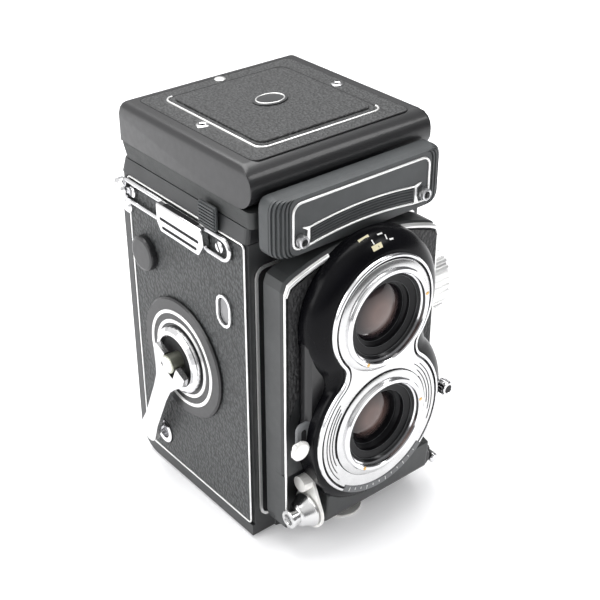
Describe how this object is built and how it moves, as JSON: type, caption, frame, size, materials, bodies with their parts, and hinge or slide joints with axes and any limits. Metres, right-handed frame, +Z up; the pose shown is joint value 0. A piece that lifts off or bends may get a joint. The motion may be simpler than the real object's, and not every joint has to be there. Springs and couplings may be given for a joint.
{
  "type": "twin lens reflex camera",
  "caption": "Twin lens reflex film camera with folding waist-level hood, focusing front standard, winding crank and hinged back.",
  "frame": {"origin": "on the tripod plate's lower face, in the plane through both lens axes", "axes": "+Z up, -Y the way the lenses face, +X the focus knob side"},
  "size_m": [0.0962, 0.099, 0.1463],
  "materials": {
    "black_enamel": "glossy baked black enamel",
    "black_satin": "satin black paint",
    "leather": "pebble grained black leather",
    "chrome": "polished chrome plate",
    "satin_metal": "satin bright metal",
    "glass": "coated optical glass",
    "mirror": "front silvered mirror",
    "plastic": "matte black moulding"
  },
  "bodies": {
    "camera_body": {"body_shell": "black_satin", "side_leather_crank": "leather", "side_leather_focus": "leather", "front_frame": "chrome", "top_frame": "satin_metal", "focusing_screen": "glass", "reflex_mirror": "mirror", "exposure_tunnel": "black_satin", "crank_escutcheon": "black_enamel", "crank_recess_cup": "chrome", "counter_ring": "chrome", "pivot_cap": "black_enamel", "strap_lug_crank": "chrome", "strap_lug_focus": "chrome", "hood_base": "black_enamel", "nameplate": "plastic"},
    "front_standard": {"lens_standard": "black_satin", "light_trap": "black_satin", "hub_casting": "black_enamel", "face_plate": "chrome", "standard_leather_left": "leather", "standard_leather_right": "leather", "viewing_bayonet": "chrome", "taking_bayonet": "chrome", "viewing_cell": "black_satin", "taking_cell": "black_satin", "viewing_glass": "glass", "taking_glass": "glass", "shutter_unit": "black_satin", "release_collar": "chrome", "sync_socket": "chrome"},
    "focus_knob": {"focus_knob": "chrome"},
    "aperture_lever": {"aperture_lever": "chrome"},
    "shutter_speed_lever": {"shutter_speed_lever": "chrome"},
    "release_button": {"release_button": "satin_metal"},
    "release_lock_lever": {"release_lock_lever": "chrome"},
    "sync_lever": {"sync_lever": "black_enamel"},
    "crank_hub": {"crank_hub": "chrome"},
    "crank_arm": {"crank_arm": "chrome"},
    "crank_grip": {"crank_grip": "chrome"},
    "counter_dial": {"counter_dial": "satin_metal"},
    "take_up_spool": {"take_up_spool": "plastic"},
    "supply_spool": {"supply_spool": "plastic"},
    "film_roller_upper": {"film_roller_upper": "satin_metal"},
    "film_roller_lower": {"film_roller_lower": "satin_metal"},
    "spool_knob_upper": {"spool_knob_upper": "chrome"},
    "spool_knob_lower": {"spool_knob_lower": "chrome"},
    "camera_back": {"back_door": "leather", "pressure_plate": "black_satin", "pressure_spring": "satin_metal", "tripod_plate": "satin_metal"},
    "back_latch": {"back_latch": "chrome"},
    "hood_lid": {"hood_lid": "black_enamel", "finder_flap": "leather"},
    "magnifier": {"magnifier": "black_satin"},
    "hood_side_left": {"hood_side_left": "black_satin"},
    "hood_side_right": {"hood_side_right": "black_satin"},
    "hood_back": {"hood_back": "black_satin"},
    "hood_lock_slide": {"hood_lock_slide": "plastic"}
  },
  "joints": [
    {"name": "focus_slide", "type": "slide", "parent": "camera_body", "child": "front_standard", "axis": [0, -1, 0], "range_m": [0, 0.006]},
    {"name": "focus_turn", "type": "hinge", "parent": "camera_body", "child": "focus_knob", "pos_m": [0.038, -0.011, 0.0765], "axis": [1, 0, 0], "range_deg": [0, 270]},
    {"name": "aperture_turn", "type": "hinge", "parent": "front_standard", "child": "aperture_lever", "pos_m": [0, -0.041, 0.0484], "axis": [0, 1, 0], "range_deg": [-28, 28]},
    {"name": "shutter_speed_turn", "type": "hinge", "parent": "front_standard", "child": "shutter_speed_lever", "pos_m": [0, -0.041, 0.0484], "axis": [0, 1, 0], "range_deg": [-28, 28]},
    {"name": "release_press", "type": "slide", "parent": "front_standard", "child": "release_button", "axis": [1, 0, 0], "range_m": [0, 0.0022], "stiffness_N_per_m": 400},
    {"name": "release_lock_turn", "type": "hinge", "parent": "front_standard", "child": "release_lock_lever", "pos_m": [-0.0249, -0.0382, 0.0178], "axis": [1, 0, 0], "range_deg": [0, 60]},
    {"name": "sync_lever_turn", "type": "hinge", "parent": "front_standard", "child": "sync_lever", "pos_m": [0.0292, -0.037, 0.0136], "axis": [0, 1, 0], "range_deg": [0, 25]},
    {"name": "crank_turn", "type": "hinge", "parent": "camera_body", "child": "crank_hub", "pos_m": [-0.0392, 0.0158, 0.0587], "axis": [-1, 0, 0], "range_deg": [0, 200]},
    {"name": "crank_fold", "type": "hinge", "parent": "crank_hub", "child": "crank_arm", "pos_m": [-0.0432, 0.0158, 0.0587], "axis": [0, 0.9119, 0.4105], "range_deg": [0, 178]},
    {"name": "crank_grip_spin", "type": "hinge", "parent": "crank_arm", "child": "crank_grip", "pos_m": [-0.04, 0.0334, 0.0196], "axis": [1, 0, 0], "continuous": true},
    {"name": "counter_turn", "type": "hinge", "parent": "camera_body", "child": "counter_dial", "pos_m": [-0.0338, -0.0102, 0.0905], "axis": [-1, 0, 0], "range_deg": [0, 330]},
    {"name": "take_up_turn", "type": "hinge", "parent": "camera_body", "child": "take_up_spool", "pos_m": [0, 0.033, 0.091], "axis": [-1, 0, 0], "range_deg": [0, 330]},
    {"name": "supply_turn", "type": "hinge", "parent": "camera_body", "child": "supply_spool", "pos_m": [0, 0, 0.0195], "axis": [1, 0, 0], "continuous": true},
    {"name": "roller_upper_turn", "type": "hinge", "parent": "camera_body", "child": "film_roller_upper", "pos_m": [0, 0.0426, 0.079], "axis": [1, 0, 0], "continuous": true},
    {"name": "roller_lower_turn", "type": "hinge", "parent": "camera_body", "child": "film_roller_lower", "pos_m": [0, 0.0426, 0.0178], "axis": [1, 0, 0], "continuous": true},
    {"name": "spool_knob_upper_pull", "type": "slide", "parent": "camera_body", "child": "spool_knob_upper", "axis": [1, 0, 0], "range_m": [0, 0.004]},
    {"name": "spool_knob_lower_pull", "type": "slide", "parent": "camera_body", "child": "spool_knob_lower", "axis": [1, 0, 0], "range_m": [0, 0.004]},
    {"name": "back_hinge", "type": "hinge", "parent": "camera_body", "child": "camera_back", "pos_m": [0, 0.04775, 0.1062], "axis": [1, 0, 0], "range_deg": [0, 95]},
    {"name": "latch_turn", "type": "hinge", "parent": "camera_back", "child": "back_latch", "pos_m": [-0.001, -0.012, 0.00045], "axis": [0, 0, 1], "range_deg": [0, 35]},
    {"name": "lid_hinge", "type": "hinge", "parent": "camera_body", "child": "hood_lid", "pos_m": [0, -0.0186, 0.1388], "axis": [1, 0, 0], "range_deg": [0, 90]},
    {"name": "magnifier_hinge", "type": "hinge", "parent": "hood_lid", "child": "magnifier", "pos_m": [0, 0.0164, 0.1426], "axis": [1, 0, 0], "range_deg": [-90, 0]},
    {"name": "hood_side_left_hinge", "type": "hinge", "parent": "camera_body", "child": "hood_side_left", "pos_m": [-0.0335, 0, 0.1298], "axis": [0, -1, 0], "range_deg": [0, 90]},
    {"name": "hood_side_right_hinge", "type": "hinge", "parent": "camera_body", "child": "hood_side_right", "pos_m": [0.0335, 0, 0.1298], "axis": [0, 1, 0], "range_deg": [0, 90]},
    {"name": "hood_back_hinge", "type": "hinge", "parent": "camera_body", "child": "hood_back", "pos_m": [0, 0.0435, 0.1311], "axis": [-1, 0, 0], "range_deg": [0, 90]},
    {"name": "hood_lock_push", "type": "slide", "parent": "camera_body", "child": "hood_lock_slide", "axis": [0, 1, 0], "range_m": [0, 0.003]}
  ],
  "couplings": [
    {"joint": "focus_turn", "follows": "focus_slide", "rad_per_m": 785},
    {"joint": "counter_turn", "follows": "crank_turn", "ratio": 0.14},
    {"joint": "take_up_turn", "follows": "crank_turn", "ratio": 1.3},
    {"joint": "magnifier_hinge", "follows": "lid_hinge", "ratio": -1},
    {"joint": "hood_side_left_hinge", "follows": "lid_hinge", "ratio": 1},
    {"joint": "hood_side_right_hinge", "follows": "lid_hinge", "ratio": 1},
    {"joint": "hood_back_hinge", "follows": "lid_hinge", "ratio": 1}
  ]
}
